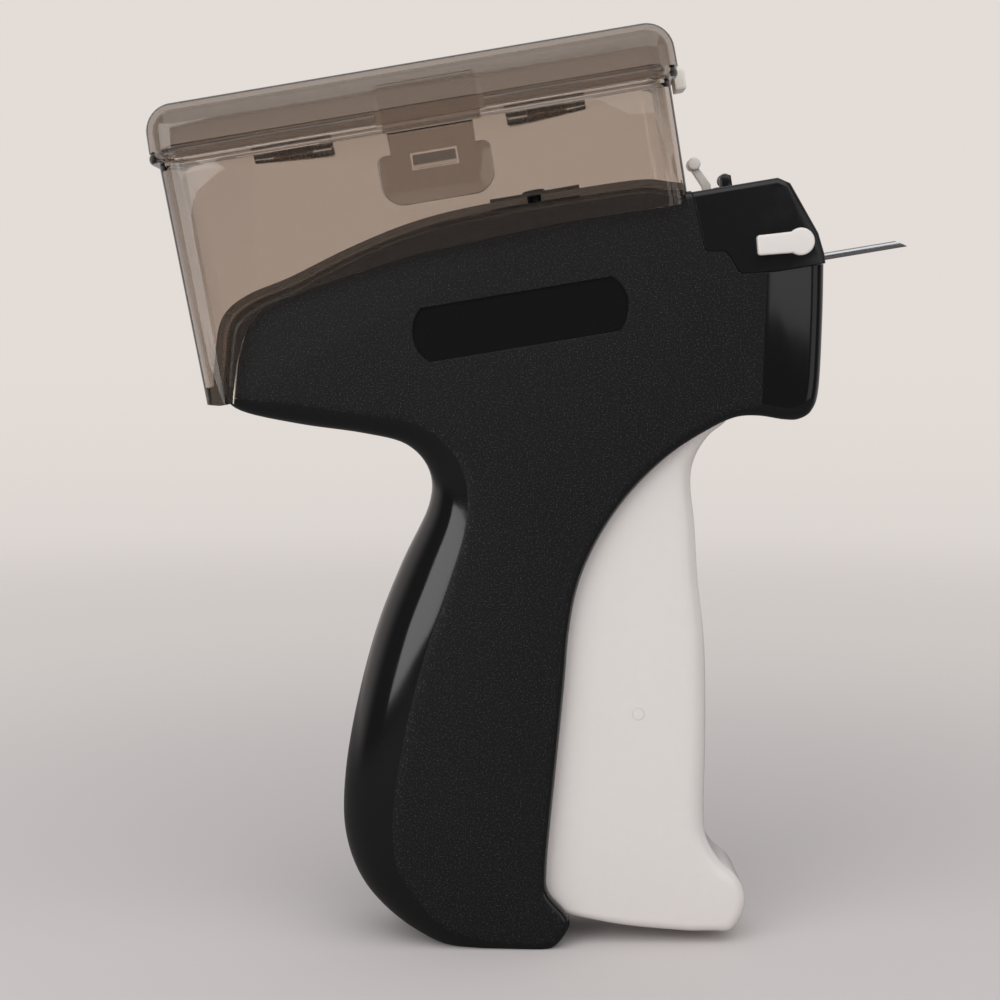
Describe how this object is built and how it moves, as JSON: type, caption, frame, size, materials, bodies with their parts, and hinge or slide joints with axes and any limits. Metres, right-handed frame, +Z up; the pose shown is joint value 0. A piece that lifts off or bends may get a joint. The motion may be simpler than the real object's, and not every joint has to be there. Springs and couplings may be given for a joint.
{
  "type": "garment tag attacher",
  "caption": "Pistol-shaped garment tag attacher with slotted needle, pull trigger and smoky clear storage case on its back.",
  "frame": {"origin": "middle of the butt's flat bottom face, tool standing on it", "axes": "+X towards the needle, +Y to the tool's left side (away from the picture's camera), +Z up"},
  "size_m": [0.1479, 0.038, 0.1801],
  "materials": {
    "grained_black_abs": "fine spark-eroded grain, edges smooth",
    "gloss_black_abs": "gloss",
    "white_abs": "gloss, warm white",
    "nylon": "natural nylon",
    "smoky_clear": "clear smoky brown, see-through",
    "steel": "ground stainless",
    "spring_steel": "drawn wire"
  },
  "bodies": {
    "body": {"housing_right": "grained_black_abs", "housing_left": "grained_black_abs", "housing_screws": "steel", "nose_cover": "gloss_black_abs", "needle": "steel", "needle_hub": "nylon", "knife_blade": "steel", "trigger_pin": "steel", "drive_lever_pin": "steel", "return_spring": "spring_steel", "feed_track": "nylon", "feed_wheel_axle": "steel", "feed_pawl": "spring_steel", "clip_lever_pin": "steel", "clip_lever_spring": "spring_steel", "case_tray": "smoky_clear", "clamp_plate": "grained_black_abs", "clamp_screws": "steel", "lid_hinge_pins": "steel"},
    "trigger": {"trigger": "white_abs", "trigger_crosspin": "steel"},
    "rocker": {"drive_lever": "nylon"},
    "carriage": {"slide_carriage": "nylon", "carriage_pin": "steel", "push_rod": "steel"},
    "wheel": {"feed_wheel": "nylon"},
    "clip_lever": {"clip_lever": "white_abs"},
    "lock_lever": {"needle_lock_lever": "white_abs"},
    "lid": {"case_lid": "smoky_clear", "lid_thumb_lug": "white_abs"},
    "latch": {"case_latch": "smoky_clear"}
  },
  "joints": [
    {"name": "trigger_pull", "type": "hinge", "parent": "body", "child": "trigger", "pos_m": [0.0413, 0, 0.11473], "axis": [0, 1, 0], "range_deg": [0, 17], "stiffness_Nm_per_rad": 1.5, "springref_deg": -14.32},
    {"name": "rocker_swing", "type": "hinge", "parent": "body", "child": "rocker", "pos_m": [0.00838, 0, 0.07482], "axis": [0, 1, 0], "range_deg": [0, 34]},
    {"name": "carriage_slide", "type": "slide", "parent": "body", "child": "carriage", "axis": [0.9866, 0, 0.1633], "range_m": [0, 0.032], "deforming": ["return_spring"]},
    {"name": "wheel_turn", "type": "hinge", "parent": "body", "child": "wheel", "pos_m": [0.05056, 0.006, 0.13045], "axis": [0.9866, 0, 0.1633], "range_deg": [0, 36]},
    {"name": "clip_lever_swing", "type": "hinge", "parent": "body", "child": "clip_lever", "pos_m": [0.0391, 0, 0.14518], "axis": [0, 1, 0], "range_deg": [0, 10], "stiffness_Nm_per_rad": 0.02, "springref_deg": -17.19, "deforming": ["clip_lever_spring"]},
    {"name": "lock_turn", "type": "hinge", "parent": "body", "child": "lock_lever", "pos_m": [0.05716, 0, 0.13895], "axis": [0, 1, 0], "range_deg": [0, 90]},
    {"name": "lid_open", "type": "hinge", "parent": "body", "child": "lid", "pos_m": [-0.01653, 0.0184, 0.16162], "axis": [-0.9866, 0, -0.1633], "range_deg": [0, 110], "deforming": ["case_latch"]},
    {"name": "latch_flex", "type": "hinge", "parent": "lid", "child": "latch", "pos_m": [-0.01313, -0.017, 0.15944], "axis": [-0.9866, 0, -0.1633], "range_deg": [0, 35], "stiffness_Nm_per_rad": 0.05}
  ],
  "couplings": [
    {"joint": "rocker_swing", "follows": "trigger_pull", "ratio": 2},
    {"joint": "carriage_slide", "follows": "trigger_pull", "m_per_rad": 0.10785},
    {"joint": "wheel_turn", "follows": "trigger_pull", "ratio": 2.1176}
  ]
}
